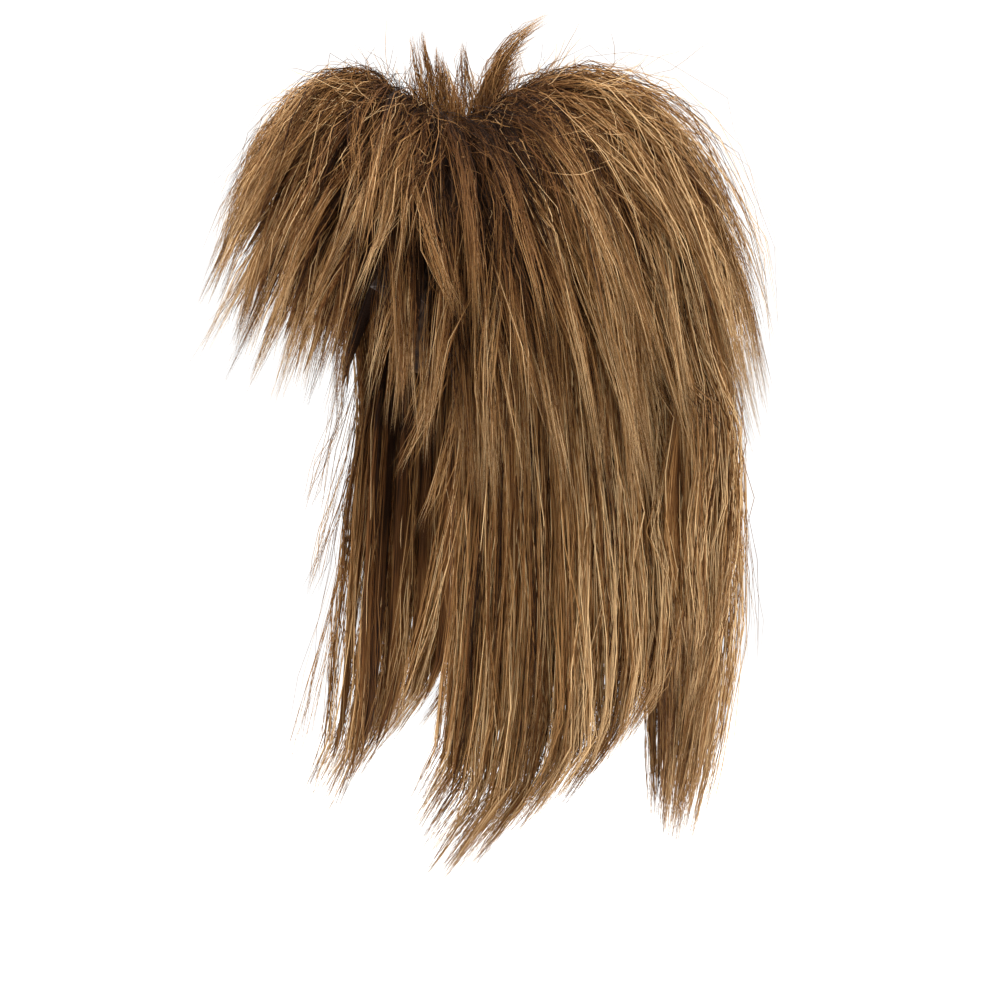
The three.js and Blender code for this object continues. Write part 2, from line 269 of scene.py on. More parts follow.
# Tapering closed tubes in one mesh, each round its own path. rings holds each ring's corners.
def tubePiece(name, node, rings, tips, values, material):
    count, ringCount, sides = rings.shape[:3]
    perTube = ringCount * sides + 1
    vertices = np.concatenate([rings.reshape(count, ringCount * sides, 3), tips[:, None]], axis=1)
    faces = [
        [ring * sides + a, ring * sides + b, (ring + 1) * sides + b, (ring + 1) * sides + a]
        for ring in range(ringCount - 1)
        for a, b in zip(range(sides), [*range(1, sides), 0])
    ]
    last = (ringCount - 1) * sides
    faces += [[last + a, last + (a + 1) % sides, perTube - 1] for a in range(sides)]
    faces.append(list(range(sides))[::-1])
    loops = np.array([corner for face in faces for corner in face])
    allLoops = (loops[None, :] + np.arange(count)[:, None] * perTube).ravel()
    allSizes = np.tile([len(face) for face in faces], count)
    mesh = bpy.data.meshes.new(name)
    mesh.vertices.add(count * perTube)
    mesh.vertices.foreach_set("co", vertices.astype(np.float32).ravel())
    mesh.loops.add(len(allLoops))
    mesh.loops.foreach_set("vertex_index", allLoops.astype(np.int32))
    mesh.polygons.add(len(allSizes))
    mesh.polygons.foreach_set("loop_start", (np.cumsum(allSizes) - allSizes).astype(np.int32))
    mesh.polygons.foreach_set("use_smooth", np.ones(len(allSizes), bool))
    mesh.update(calc_edges=True)
    for key, value in values.items():
        attribute = mesh.attributes.new(key, "FLOAT", "POINT")
        attribute.data.foreach_set("value", value.astype(np.float32).ravel())
    mesh.materials.append(material)
    piece = bpy.data.objects.new(name, mesh)
    bpy.context.collection.objects.link(piece)
    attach(piece, "root")
    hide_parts(node)


# Unit vectors across and out of each path, the second as near to the given outward one as it can be
def sidesOf(paths, outward):
    tangent = np.gradient(paths, axis=1)
    tangent /= np.linalg.norm(tangent, axis=2, keepdims=True)
    across = np.cross(outward, tangent)
    across /= np.linalg.norm(across, axis=2, keepdims=True)
    return across, np.cross(tangent, across)


crownShade = {
    "depth": -0.42,
    "clear": 0.095,
    "core": 0.025,
    "sideways": 0.5,
    "bottom": -0.14,
    "top": -0.02,
}


# A strand's tone at each corner of its rings, darker where it lies in the shade of the crown's middle
def ringTone(tone, paths, sides):
    fromCentre = np.hypot(paths[..., 0] * crownShade["sideways"], paths[..., 1] - crownLine["middle"])
    shade = smooth(crownShade["clear"], crownShade["core"], fromCentre)
    shade = shade * smooth(crownShade["bottom"], crownShade["top"], paths[..., 2]) * crownShade["depth"]
    shaded = tone.reshape(len(paths), -1) + shade
    return np.concatenate([np.repeat(shaded[:, :-1], sides, axis=1), shaded[:, -1:]], axis=1)


strandForm = {"sides": 3, "at": [0, 0.15, 0.75, 1], "width": [0.6, 1, 1, 0.4]}
lockForm = {
    "sides": 8,
    "at": [0, 0.12, 0.35, 0.65, 0.88, 1],
    "width": [0.5, 0.85, 1, 0.85, 0.42, 0.12],
    "thinning": 0.7,
    "sizes": (0.8, 1.25),
    "facesAwayFrom": (0, 0, -0.06),
}


def strandPiece(name, node, paths, radius, tone, rng):
    sides = strandForm["sides"]
    count, points = paths.shape[:2]
    across, out = sidesOf(paths, unitNoise(rng, (count, 1, 3)) + np.zeros(paths.shape))
    along = np.linspace(0, 1, points)
    width = radius[:, None] * np.interp(along, strandForm["at"], strandForm["width"])
    angle = np.arange(sides) * 2 * math.pi / sides
    ring = across[:, :, None] * np.cos(angle)[:, None] + out[:, :, None] * np.sin(angle)[:, None]
    rings = (paths[:, :, None] + ring * width[:, :, None, None])[:, :-1]
    ringAlong = np.append(np.repeat(along[:-1], sides), 1)
    values = {"along": np.tile(ringAlong, count), "tone": ringTone(tone, paths, sides)}
    tubePiece(name, node, rings, paths[:, -1], values, hairMaterial)


# The dense heart of each lock: a flat tapering body that the loose strands lie over
def lockPiece(name, node, paths, width, thickness, tone):
    sides = lockForm["sides"]
    count, points = paths.shape[:2]
    across, out = sidesOf(paths, paths - np.array(lockForm["facesAwayFrom"]))
    along = np.linspace(0, 1, points)
    taper = np.interp(along, lockForm["at"], lockForm["width"])
    angle = np.arange(sides) * 2 * math.pi / sides
    halfWidth = (width[:, None] * taper)[:, :, None] * np.cos(angle)
    halfThick = (thickness[:, None] * taper ** lockForm["thinning"])[:, :, None] * np.sin(angle)
    rings = paths[:, :, None] + across[:, :, None] * halfWidth[..., None]
    rings = rings + out[:, :, None] * halfThick[..., None]
    ringAlong = np.append(np.repeat(along[:-1], sides), 1)
    ringAcross = (width[:, None, None] * np.cos(angle) * np.ones((1, points - 1, 1))).reshape(count, -1)
    values = {
        "along": np.tile(ringAlong, count),
        "tone": ringTone(tone, paths, sides),
        "across": np.concatenate([ringAcross, np.zeros((count, 1))], axis=1),
    }
    tubePiece(name, node, rings[:, :-1], paths[:, -1], values, lockMaterial)


# Hair colour: darker at the roots with painted shade, golden towards the tips, and different from strand to
# strand

hairColours = {
    "deep": {"tone": 0.05, "colour": (0.013, 0.005, 0.002, 1)},
    "brown": {"tone": 0.38, "colour": (0.110, 0.043, 0.012, 1)},
    "gold": {"tone": 0.72, "colour": (0.300, 0.156, 0.057, 1)},
    "light": {"tone": 0.95, "colour": (0.600, 0.395, 0.200, 1)},
}
hairLook = {"roughness": 0.55, "gloss": 0.07, "rootShade": -0.3, "tipShade": 0.06, "shadeEnd": 0.6}


# A maths node with given numbers or links in its sockets
def mathNode(tree, operation, *given):
    node = tree.nodes.new("ShaderNodeMath")
    node.operation = operation
    for socket, value in zip(node.inputs, given):
        if isinstance(value, (int, float)):
            socket.default_value = value
        else:
            tree.links.new(value, socket)
    return node.outputs["Value"]


# Colour from a strand's tone and the place along it
def makeColourGroup():
    group = bpy.data.node_groups.new("hair_colour", "ShaderNodeTree")
    group.interface.new_socket("Tone", in_out="INPUT", socket_type="NodeSocketFloat")
    group.interface.new_socket("Along", in_out="INPUT", socket_type="NodeSocketFloat")
    group.interface.new_socket("Color", in_out="OUTPUT", socket_type="NodeSocketColor")
    nodes, links = group.nodes, group.links
    given = nodes.new("NodeGroupInput")
    # Painted shade at the roots, fading along the strand into a slight lightening towards the tips
    shade = nodes.new("ShaderNodeMapRange")
    shade.inputs["From Max"].default_value = hairLook["shadeEnd"]
    shade.inputs["To Min"].default_value = hairLook["rootShade"]
    shade.inputs["To Max"].default_value = hairLook["tipShade"]
    links.new(given.outputs["Along"], shade.inputs["Value"])
    total = mathNode(group, "ADD", given.outputs["Tone"], shade.outputs["Result"])
    ramp = nodes.new("ShaderNodeValToRGB")
    stops = ramp.color_ramp.elements
    for stop, key in zip(stops, ("deep", "light")):
        stop.position, stop.color = hairColours[key]["tone"], hairColours[key]["colour"]
    for key in ("brown", "gold"):
        stops.new(hairColours[key]["tone"]).color = hairColours[key]["colour"]
    links.new(total, ramp.inputs["Fac"])
    result = nodes.new("NodeGroupOutput")
    links.new(ramp.outputs["Color"], result.inputs["Color"])
    return group


colourGroup = makeColourGroup()


def attributeNode(tree, name):
    node = tree.nodes.new("ShaderNodeAttribute")
    node.attribute_name = name
    return node.outputs["Fac"]


def startHair(name):
    material = bpy.data.materials.new(name)
    material.use_nodes = True
    tree = material.node_tree
    shader = tree.nodes["Principled BSDF"]
    shader.inputs["Roughness"].default_value = hairLook["roughness"]
    shader.inputs["Specular IOR Level"].default_value = hairLook["gloss"]
    colour = tree.nodes.new("ShaderNodeGroup")
    colour.node_tree = colourGroup
    tree.links.new(attributeNode(tree, "along"), colour.inputs["Along"])
    tree.links.new(colour.outputs["Color"], shader.inputs["Base Color"])
    return material, tree, shader, colour


def makeHairMaterial():
    material, tree, _, colour = startHair("hair_fibre")
    tree.links.new(attributeNode(tree, "tone"), colour.inputs["Tone"])
    return material


lockGrain = {
    "across": 900,
    "along": 5,
    "apart": 70,
    "detail": 3,
    "range": (0.25, 0.75),
    "contrast": 0.7,
    "bump": 0.0012,
}


# Fine streaks that run along a lock, in its colour and its relief
def makeLockMaterial():
    material, tree, shader, colour = startHair("hair_locks")
    place = tree.nodes.new("ShaderNodeCombineXYZ")
    sources = {"X": ("across", "across"), "Y": ("along", "along"), "Z": ("tone", "apart")}
    for socket, (attribute, scale) in sources.items():
        scaled = mathNode(tree, "MULTIPLY", attributeNode(tree, attribute), lockGrain[scale])
        tree.links.new(scaled, place.inputs[socket])
    grain = tree.nodes.new("ShaderNodeTexNoise")
    grain.inputs["Scale"].default_value = 1
    grain.inputs["Detail"].default_value = lockGrain["detail"]
    tree.links.new(place.outputs["Vector"], grain.inputs["Vector"])
    streak = tree.nodes.new("ShaderNodeMapRange")
    streak.inputs["From Min"].default_value = lockGrain["range"][0]
    streak.inputs["From Max"].default_value = lockGrain["range"][1]
    streak.inputs["To Min"].default_value = -lockGrain["contrast"] / 2
    streak.inputs["To Max"].default_value = lockGrain["contrast"] / 2
    tree.links.new(grain.outputs["Fac"], streak.inputs["Value"])
    total = mathNode(tree, "ADD", attributeNode(tree, "tone"), streak.outputs["Result"])
    tree.links.new(total, colour.inputs["Tone"])
    relief = tree.nodes.new("ShaderNodeBump")
    relief.inputs["Distance"].default_value = lockGrain["bump"]
    tree.links.new(grain.outputs["Fac"], relief.inputs["Height"])
    tree.links.new(relief.outputs["Normal"], shader.inputs["Normal"])
    return material


hairMaterial = makeHairMaterial()
lockMaterial = makeLockMaterial()

# The crown hair: locks, each of several bundles of strands, in each of its four sectors. After the sectors come
# how the hair is grouped, how it bends, its lengths, how it gathers, the strays, the tones and the lock bodies.
# A pair of numbers is a range.

# Each sector's tone is painted light and shade: the back is painted lighter, the fringe and the sides darker.
crownSectors = {
    "fringe": {
        "from": -52.5, "to": 52.5, "strands": 4200, "locks": 76,
        "feather": 0.26, "rim": 0.5, "tone": -0.03, "seed": 11,
    },
    "crown_layer_left": {
        "from": 52.5, "to": 127.5, "strands": 3200, "locks": 66,
        "feather": 0.25, "rim": 0.15, "tone": -0.03, "seed": 12,
    },
    "crown_layer_back": {
        "from": 127.5, "to": 232.5, "strands": 3700, "locks": 96,
        "feather": 0.28, "rim": 0.35, "tone": 0.06, "seed": 13,
    },
    "crown_layer_right": {
        "from": -127.5, "to": -52.5, "strands": 1700, "locks": 62,
        "feather": 0.25, "rim": 0.4, "tone": -0.03, "seed": 14,
    },
}

crownHair = {
    "points": {"outer": 9, "inner": 6},
    "innerShell": 0.66,
    "spacing": 0.618034,
    "lockWidth": 0.085,
    "strandWidth": 0.025,
    "bundles": 7,
    "shells": [1.02, 0.88, 0.74, 0.6, 0.45, 0.26],
    "shellShares": [0.15, 0.2, 0.2, 0.18, 0.14, 0.13],
    "shellNoise": {"lock": 0.05, "bundle": 0.07, "strand": 0.05},
    "innerWeight": 0.35,
    "furthestShell": 1.15,
    "furthest": 1.1,
    "nearestAxis": 0.01,
}
crownBend = {
    "drift": 0.2,
    "driftGrowth": 1.5,
    "sway": 0.09,
    "swayTurns": 0.75,
    "flick": 0.01,
    "flickRise": 0.4,
    "featherFlick": 0.06,
    "featherShells": (0.6, 0.9),
    "wave": 0.0036,
    "bundleWave": 0.0065,
}
crownLength = {
    "lock": 1.05,
    "lockNoise": 0.06,
    "bundles": (0.9, 1.04),
    "strandNoise": 0.05,
    "shortShare": 0.3,
    "short": (0.7, 0.95),
    "limits": (0.5, 1.06),
    "pace": (0.92, 1.12),
}
crownGather = {"bundle": (0.9, 0.1, 0.8), "lock": (0.95, 0.35, 1.0), "hold": (0.75, 1), "strayHold": 0.15}
crownStray = {"share": 0.11, "shell": 0.12, "wave": 2.2, "radius": 0.6}
# Tones: lock, bundle and strand tones differ at random. depth is painted shade that darkens the locks of the
# inner shells, fading out towards the tips, and tipGlow paints the tips lighter.
crownTone = {
    "middle": 0.5,
    "lock": 0.2,
    "bundle": 0.13,
    "strand": 0.22,
    "depth": 0.74,
    "shadeShells": (1.0, 0.4),
    "tipGlow": 0.14,
    "tipSpan": (0.55, 0.95),
}
# The lock bodies' tone is painted shade: darker than the strands, as the heart of a lock lies in shade.
crownBody = {
    "rings": 10,
    "span": (0.08, 0.88),
    "belowShell": 0.95,
    "inset": 0.1,
    "width": 0.007,
    "thickness": 0.003,
    "tone": 0.2,
}
strandRadius = {"crown": 0.00027, "long": 0.00028, "spread": (0.6, 1.3)}


def crownStrands(name):
    sector = crownSectors[name]
    rng = np.random.default_rng(sector["seed"])
    locks = sector["locks"]
    noise = crownHair["shellNoise"]
    low, high = math.radians(sector["from"]), math.radians(sector["to"])
    # Locks are spread evenly round the sector, in different shells, the outer ones feathered to odd lengths
    lockAzimuth = mix(low, high, (np.arange(locks) * crownHair["spacing"] + rng.random()) % 1)
    lockShell = rng.choice(crownHair["shells"], locks, p=crownHair["shellShares"])
    lockShell = lockShell + noise["lock"] * unitNoise(rng, locks)
    lockDrift = crownBend["drift"] * unitNoise(rng, locks)
    lockSway = crownBend["sway"] * unitNoise(rng, locks)
    feather = sector["feather"] * rng.random(locks) * smooth(*crownBend["featherShells"], lockShell)
    lockFlick = crownBend["flick"] * unitNoise(rng, locks) + crownBend["featherFlick"] * feather
    lockLength = crownLength["lock"] - feather + crownLength["lockNoise"] * unitNoise(rng, locks)
    # A lock's tone is its sector's painted light and shade, with a random difference of its own
    lockTone = sector["tone"] + crownTone["lock"] * unitNoise(rng, locks)
    # Painted shade: the locks of the inner shells are darker
    lockDepthShade = crownTone["depth"] * smooth(*crownTone["shadeShells"], lockShell)

    def run(azimuth, shell, t, lock):
        drift, sway, flick = (value[lock][:, None] for value in (lockDrift, lockSway, lockFlick))
        azimuth = azimuth + drift * t ** crownBend["driftGrowth"]
        azimuth = azimuth + sway * np.sin(t * math.pi * 2 * crownBend["swayTurns"])
        path = crownRun(azimuth, np.clip(shell, 0, crownHair["furthestShell"]), t)
        outward = placed(azimuth, np.ones(t.shape), np.full(t.shape, crownBend["flickRise"]))
        return path + outward * (flick * t ** 3)[:, :, None]

    # A lock's painted shade fades out towards its tip, and the tip is painted lighter
    def shaded(tone, t, lock):
        tipLight = smooth(*crownTone["tipSpan"], t)
        return (tone - lockDepthShade[lock])[:, None] + (crownTone["tipGlow"] + lockDepthShade[lock][:, None]) * tipLight

    solid = np.flatnonzero(lockShell < crownBody["belowShell"])
    t = np.linspace(*crownBody["span"], crownBody["rings"])[None, :] * lockLength[solid][:, None]
    shellRun = lockShell[solid][:, None] - crownBody["inset"] + np.zeros(t.shape)
    bodies = run(lockAzimuth[solid][:, None] + np.zeros(t.shape), shellRun, t, solid)
    size = rng.uniform(*lockForm["sizes"], len(solid))
    width, thickness = (size * crownBody[key] for key in ("width", "thickness"))
    # Painted shade: the bodies are darker than the strands that lie over them
    bodyToneAndShade = shaded(crownBody["tone"] + lockTone[solid], t, solid)
    lockPiece(name + "_locks", name, bodies, width, thickness, bodyToneAndShade)
    # Each lock is made of bundles, and each bundle of strands, most of them in the outer locks
    bundles = locks * crownHair["bundles"]
    bundleLock = np.arange(bundles) % locks
    bundleAzimuth = lockAzimuth[bundleLock] + crownHair["lockWidth"] * unitNoise(rng, bundles)
    bundleShell = lockShell[bundleLock] + noise["bundle"] * unitNoise(rng, bundles)
    bundleTone = crownTone["bundle"] * unitNoise(rng, bundles)
    bundleLength = rng.uniform(*crownLength["bundles"], bundles)
    isRim = lockShell[bundleLock] > crownBody["belowShell"]
    weight = np.where(isRim, sector["rim"], crownHair["innerWeight"] + lockShell[bundleLock])
    allBundles = rng.choice(bundles, sector["strands"], p=weight / weight.sum())
    isInner = lockShell[bundleLock[allBundles]] < crownHair["innerShell"]
    for depth, chosen in (("outer", ~isInner), ("inner", isInner)):
        bundle = allBundles[chosen]
        lock, count = bundleLock[bundle], len(bundle)
        azimuth = bundleAzimuth[bundle] + crownHair["strandWidth"] * unitNoise(rng, count)
        shell = bundleShell[bundle] + noise["strand"] * unitNoise(rng, count)
        stray = rng.random(count) < crownStray["share"]
        shell = shell + np.where(stray, crownStray["shell"] * rng.random(count), 0)
        isShort = rng.random(count) < crownLength["shortShare"]
        short = np.where(isShort, rng.uniform(*crownLength["short"], count), 1)
        length = lockLength[lock] * bundleLength[bundle] * short
        length = length * (1 + crownLength["strandNoise"] * unitNoise(rng, count))
        t = np.linspace(0, 1, crownHair["points"][depth])[None, :]
        t = t ** rng.uniform(*crownLength["pace"], (count, 1))
        t = t * np.clip(length, *crownLength["limits"])[:, None]
        hold = np.where(stray, crownGather["strayHold"], rng.uniform(*crownGather["hold"], count))[:, None]
        pullSmall, pullLarge = (pullAt(crownGather[key], hold, t) for key in ("bundle", "lock"))
        azimuthRun = drawnTo(azimuth, bundleAzimuth[bundle], pullSmall)
        azimuthRun = azimuthRun + (lockAzimuth[lock] - bundleAzimuth[bundle])[:, None] * pullLarge
        shellRun = drawnTo(shell, bundleShell[bundle], pullSmall)
        shellRun = shellRun + (lockShell[lock] - bundleShell[bundle])[:, None] * pullLarge
        paths = run(azimuthRun, shellRun, t, lock)
        wave = np.where(stray, crownStray["wave"], 1.0)[:, None, None] * crownBend["wave"]
        paths = paths + waves(rng, t, 1) * wave + waves(rng, t, crownBend["bundleWave"], bundle)
        around = np.arctan2(paths[..., 0], -paths[..., 1])
        spread = np.maximum(np.hypot(paths[..., 0], paths[..., 1]), crownHair["nearestAxis"])
        paths[..., :2] *= np.minimum(1, crownHair["furthest"] * hairReach(around) / spread)[..., None]
        tone = crownTone["middle"] + lockTone[lock] + bundleTone[bundle]
        tone = tone + crownTone["strand"] * rng.normal(size=count)
        radius = strandRadius["crown"] * rng.uniform(*strandRadius["spread"], count)
        radius = radius * np.where(stray, crownStray["radius"], 1)
        strandPiece(f"{name}_{depth}_strands", name, paths, radius, shaded(tone, t, lock), rng)


for name in crownSectors:
    crownStrands(name)
print("crown hair grown")

# The tuft: spikes that rise from the crown, and short frizz that crosses the crown between them. Each spike
# has where it starts along the crown, how wide its foot is, its tip, how far it bows and how wide its tip is.

tuft = {
    "rootHeight": 0.006,
    "points": 8,
    "radius": 0.00026,
    "sizes": (0.6, 1.2),
    "wave": 0.0042,
    "footFlatness": (1, 1, 0.2),
    "tipFlatness": (1, 1, 0.5),
    "lean": 0.1,
    "riseAt": 0.45,
    "bendAt": 0.72,
    "bowLift": 0.05,
    "bowSize": 2,
    "shortTo": (0, 0, 0.03),
    "shortShare": 0.5,
    "shortGrowth": 1.6,
    "tone": 0.84,
    "spikeTone": 0.08,
    "strandTone": 0.18,
    "rootLift": 0.16,
    "liftEnd": 0.6,
    "seed": 31,
}
frizz = {
    "strands": 2000,
    "radius": 0.0002,
    "wave": 0.0012,
    "turn": 0.8,
    "curl": 0.9,
    "starts": (0.03, 0.6),
    "step": 0.02,
    "shells": (0.75, 1.08),
    "lengths": (0.01, 0.028),
    "tone": 0.8,
    "strandTone": 0.2,
    "rootLift": 0.28,
}
spikeColumns = ("root", "spread", "tip", "bow", "strands", "width")
tuftSpikes = [
    (-0.036, 0.007, (-0.003, -0.059, 0.095), -0.1, 40, 0.0016),
    (-0.034, 0.008, (-0.004, -0.056, 0.113), -0.12, 50, 0.0014),
    (-0.032, 0.008, (0.006, -0.052, 0.115), -0.06, 50, 0.0014),
    (-0.028, 0.009, (0.012, -0.043, 0.103), -0.12, 60, 0.0018),
    (-0.024, 0.010, (-0.012, -0.034, 0.098), 0.1, 60, 0.0024),
    (-0.020, 0.010, (0.016, -0.027, 0.106), 0.12, 50, 0.0018),
    (-0.018, 0.012, (-0.022, -0.040, 0.084), 0.2, 50, 0.0040),
    (-0.018, 0.012, (0.024, -0.034, 0.082), -0.3, 50, 0.0040),
    (-0.014, 0.012, (-0.010, -0.014, 0.092), 0.25, 40, 0.0040),
    (-0.014, 0.006, (0.001, 0.036, 0.127), 0.3, 70, 0.0014),
    (-0.014, 0.009, (0.004, 0.024, 0.120), 0.3, 80, 0.0030),
    (-0.012, 0.010, (-0.006, 0.010, 0.106), 0.26, 90, 0.0045),
    (-0.004, 0.012, (0.014, 0.010, 0.094), 0.15, 30, 0.0050),
    (-0.008, 0.012, (-0.010, 0.020, 0.104), 0.18, 24, 0.0040),
    (0.000, 0.014, (0.010, 0.045, 0.100), 0.1, 26, 0.0060),
    (0.000, 0.014, (0.034, 0.004, 0.074), 0.1, 50, 0.0060),
    (0.000, 0.014, (-0.036, 0.010, 0.076), 0.1, 50, 0.0060),
]


def spikePaths(rng, spike, u):
    count = spike["strands"]
    foot = np.array([0, spike["root"], tuft["rootHeight"]])
    root = foot + spike["spread"] * unitNoise(rng, (count, 3)) * tuft["footFlatness"]
    end = np.array(spike["tip"]) + spike["width"] * unitNoise(rng, (count, 3)) * tuft["tipFlatness"]
    drop = rng.random((count, 1)) ** tuft["shortGrowth"]
    end = mix(end, foot + tuft["shortTo"], tuft["shortShare"] * drop)
    lean = (end - root) * (1, 1, 0)
    rise = root + lean * tuft["lean"] + (end - root) * (0, 0, tuft["riseAt"])
    bend = mix(root, end, tuft["bendAt"]) - lean * spike["bow"] * tuft["bowSize"]
    bend = bend + np.array([0, 0, tuft["bowLift"] * spike["bow"]])
    run = sum(w[:, :, None] * point[:, None] for w, point in zip(curveWeights(u), (root, rise, bend, end)))
    return run + waves(rng, u.repeat(count, 0), tuft["wave"])


def frizzPaths(rng, u):
    count = frizz["strands"]
    azimuth = rng.uniform(0, 2 * math.pi, (count, 1))
    start = rng.uniform(*frizz["starts"], (count, 1)) + np.array([0, frizz["step"]])
    shell = rng.uniform(*frizz["shells"], (count, 1))
    ahead = crownRun(azimuth + np.zeros(start.shape), shell + np.zeros(start.shape), start)
    heading = ahead[:, 1] - ahead[:, 0]
    heading = heading / np.linalg.norm(heading, axis=1, keepdims=True)
    heading = heading + frizz["turn"] * unitNoise(rng, (count, 3))
    curl = frizz["curl"] * unitNoise(rng, (count, 3))
    length = rng.uniform(*frizz["lengths"], (count, 1, 1))
    run = ahead[:, :1] + length * (heading[:, None] * u[..., None] + curl[:, None] * u[..., None] ** 2)
    return run + waves(rng, u.repeat(count, 0), frizz["wave"])


def tuftStrands():
    rng = np.random.default_rng(tuft["seed"])
    u = np.linspace(0, 1, tuft["points"])[None, :]
    # The tuft and the frizz take back part of the painted root shade near their roots
    lift = 1 - smooth(0, tuft["liftEnd"], u)
    paths, tones, widths = [], [], []
    for row in tuftSpikes:
        spike = dict(zip(spikeColumns, row))
        count = spike["strands"]
        paths.append(spikePaths(rng, spike, u))
        tone = tuft["tone"] + tuft["spikeTone"] * rng.normal()
        tone = tone + tuft["strandTone"] * rng.normal(size=(count, 1))
        tones.append(tone + tuft["rootLift"] * lift)
        widths.append(tuft["radius"] * rng.uniform(*tuft["sizes"], count))
    count = frizz["strands"]
    paths.append(frizzPaths(rng, u))
    tone = frizz["tone"] + frizz["strandTone"] * rng.normal(size=(count, 1))
    tones.append(tone + frizz["rootLift"] * lift)
    widths.append(frizz["radius"] * rng.uniform(*tuft["sizes"], count))
    paths, tones, widths = (np.concatenate(rows) for rows in (paths, tones, widths))
    strandPiece("crown_tuft_strands", "crown_tuft", paths, widths, tones, rng)


tuftStrands()
print("tuft grown")

# The long hair, with the same settings as the crown's. Part of it grows from under the crown hair, and part,
# the mantle, from the crown itself. The falls say how it stands off the cap, drifts forward and gathers, from
# root to tip.

longHair = {
    "standOff": {"side": 0.032, "nape": 0.050},
    "start": 0.08,
    "mantleStart": 0.02,
    "points": {"mantle": 9, "under": 7},
    "bundles": 8,
    "overhang": 0.04,
    "lockNoise": 0.3,
    "bundleWidth": 2,
    "strandWidth": 0.4,
    "mantleOff": (0.95, 1.15),
    "underOff": [1.0, 0.8, 0.5],
    "bundleOff": 0.28,
    "strandOff": 0.1,
    "lean": 0.025,
    "wave": 0.003,
    "bundleWave": 0.0045,
}
mantleForm = {"turnsAt": 0.25, "leaves": (0.28, 0.52), "archEnd": 0.5, "shell": 0.3, "shellGrowth": 0.55}
longLength = {
    "mantle": (0.7, 1),
    "underNoise": 0.02,
    "bundles": (0.96, 1.03),
    "shortShare": 0.18,
    "short": (0.8, 0.97),
    "limits": (0.4, 1.02),
    "pace": (0.7, 0.95),
}
longGather = {"bundle": (0.75, 0.1, 0.9), "lock": (0.45, 0.5, 1.0), "hold": (0.5, 1), "strayHold": 0.1}
longStray = {"share": 0.05, "wave": 2.0}
# Tones: the lock, bundle and strand tones differ at random, and depth is painted shade that darkens the locks
# lying further in.
longTone = {
    "middle": 0.56,
    "lock": 0.16,
    "bundle": 0.16,
    "strand": 0.22,
    "depth": 0.25,
    "shadeOff": (1.0, 0.4),
}
# The lock bodies' tone is painted shade: darker than the strands, as the heart of a lock lies in shade.
longBody = {
    "rings": 10,
    "span": (0.02, 0.9),
    "inset": 0.12,
    "width": 0.0068,
    "thickness": 0.0024,
    "tone": 0.32,
}

sideFall = {
    "at": [0, 0.14, 0.36, 0.58, 0.8, 0.92, 1],
    "off": [0.12, 0.55, 0.85, 1, 1.25, 1.38, 1.45],
    "forward": [0, 0, 0, 0.02, 0.2, 0.6, 1.35],
    "gather": [1, 1, 1.04, 1.06, 1.02, 0.98, 0.95],
}
napeFall = {
    "at": [0, 0.14, 0.34, 0.6, 0.82, 1],
    "off": [0.1, 0.88, 0.98, 1.02, 0.88, 0.6],
    "gather": [1, 1.02, 1.1, 1.2, 1.02, 0.66],
}

# How far down the locks reach, as shares of the piece's depth: from the front edge to the back one on the
# sides, and from the middle to either edge at the nape. Sweep is how far a side's tips swing forward.

sideTips = {
    "at": [0, 0.15, 0.3, 0.44, 0.56, 0.78, 0.86, 1],
    "left": [0.90, 0.98, 1.0, 0.97, 0.93, 0.88, 0.82, 0.76],
    "right": [0.97, 0.94, 0.88, 0.84, 0.84, 0.84, 0.82, 0.77],
    "sweep": [0.9, 1.3, 1.4, 1.35, 1.2, 1.05, 0.95, 0.8],
}
napeTips = {"at": [0, 0.3, 0.6, 1], "nape": [1.06, 0.99, 0.83, 0.7]}

# Each piece's tone is partly painted light: the nape and the right side, whose inside is seen in shade, are
# painted lighter than the left.
longPieces = {
    "side_length_left": {
        "tips": "left", "from": 64, "to": 138, "strands": 2600, "locks": 48,
        "mantle": 0.42, "forward": 1, "tone": 0.02, "seed": 21,
    },
    "side_length_right": {
        "tips": "right", "from": -47, "to": -138, "strands": 1900, "locks": 44,
        "mantle": 0.3, "forward": 0.7, "tone": 0.14, "seed": 27,
    },
    "nape_length": {
        "tips": "nape", "from": 137, "to": 223, "strands": 2300, "locks": 44,
        "mantle": 0.3, "tone": 0.11, "seed": 23,
    },
}


